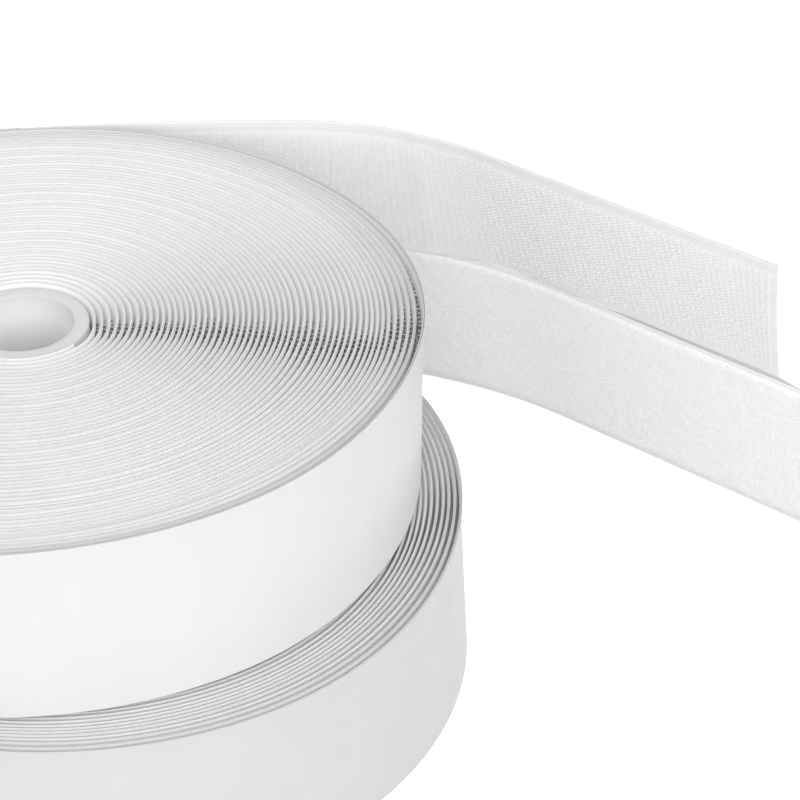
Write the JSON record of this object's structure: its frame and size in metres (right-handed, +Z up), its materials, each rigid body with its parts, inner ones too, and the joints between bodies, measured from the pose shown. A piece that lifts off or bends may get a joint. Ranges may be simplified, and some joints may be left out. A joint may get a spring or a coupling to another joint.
{
  "type": "pair of hook and loop tape rolls",
  "caption": "Pair of stacked rolls of self-adhesive hook-and-loop tape on open cores, with a free tail drawn off each and a peelable release liner.",
  "frame": {"origin": "on the surface that the rolls stand on, below the middle of the pair's bounding box", "axes": "+X towards the free ends of the tails, +Y away from the side that the pile faces, +Z up along the axes of the rolls"},
  "size_m": [0.3484, 0.2472, 0.1011],
  "materials": {
    "core": "moulded, matt",
    "hook_winding": "woven tape edges and satin liner",
    "loop_winding": "woven tape edges and satin liner",
    "woven_base": "close plain weave",
    "hooks": "nylon monofilament hooks",
    "loop_pile": "brushed loop pile",
    "adhesive": "tacky, clear",
    "liner": "satin release film"
  },
  "bodies": {
    "loop_roll": {"loop_core": "core", "loop_winding": "loop_winding"},
    "loop_tail": {"loop_tail_tape": "woven_base", "loop_tail_pile": "loop_pile", "loop_tail_adhesive": "adhesive", "loop_tail_liner": "liner"},
    "loop_liner_flap": {"loop_liner_end": "liner"},
    "hook_hub": {"hook_core": "core"},
    "hook_roll": {"hook_winding": "hook_winding"},
    "hook_tail": {"hook_tail_tape": "woven_base", "hook_tail_hooks": "hooks", "hook_tail_adhesive": "adhesive", "hook_tail_liner": "liner"},
    "hook_liner_flap": {"hook_liner_end": "liner"}
  },
  "joints": [
    {"name": "hook_lift", "type": "slide", "parent": "loop_roll", "child": "hook_hub", "axis": [0, 0, 1], "range_m": [0, 0.06]},
    {"name": "hook_turn", "type": "hinge", "parent": "hook_hub", "child": "hook_roll", "pos_m": [-0.07134, -0.00956, 0.0761], "axis": [0, 0, 1], "continuous": true},
    {"name": "hook_tail_flex", "type": "hinge", "parent": "hook_roll", "child": "hook_tail", "pos_m": [-0.08037, 0.09373, 0.0761], "axis": [0, 0, 1], "range_deg": [0, 30], "stiffness_Nm_per_rad": 0.02},
    {"name": "hook_liner_peel", "type": "hinge", "parent": "hook_tail", "child": "hook_liner_flap", "pos_m": [0.10407, 0.04776, 0.07507], "axis": [-0.2098, -0.2554, 0.9438], "range_deg": [0, 150]},
    {"name": "loop_tail_flex", "type": "hinge", "parent": "loop_roll", "child": "loop_tail", "pos_m": [-0.14887, 0.04692, 0.025], "axis": [0, 0, 1], "range_deg": [0, 30], "stiffness_Nm_per_rad": 0.02},
    {"name": "loop_liner_peel", "type": "hinge", "parent": "loop_tail", "child": "loop_liner_flap", "pos_m": [0.14324, 0.02972, 0.02535], "axis": [-0.0849, -0.0991, 0.9914], "range_deg": [0, 150]}
  ]
}
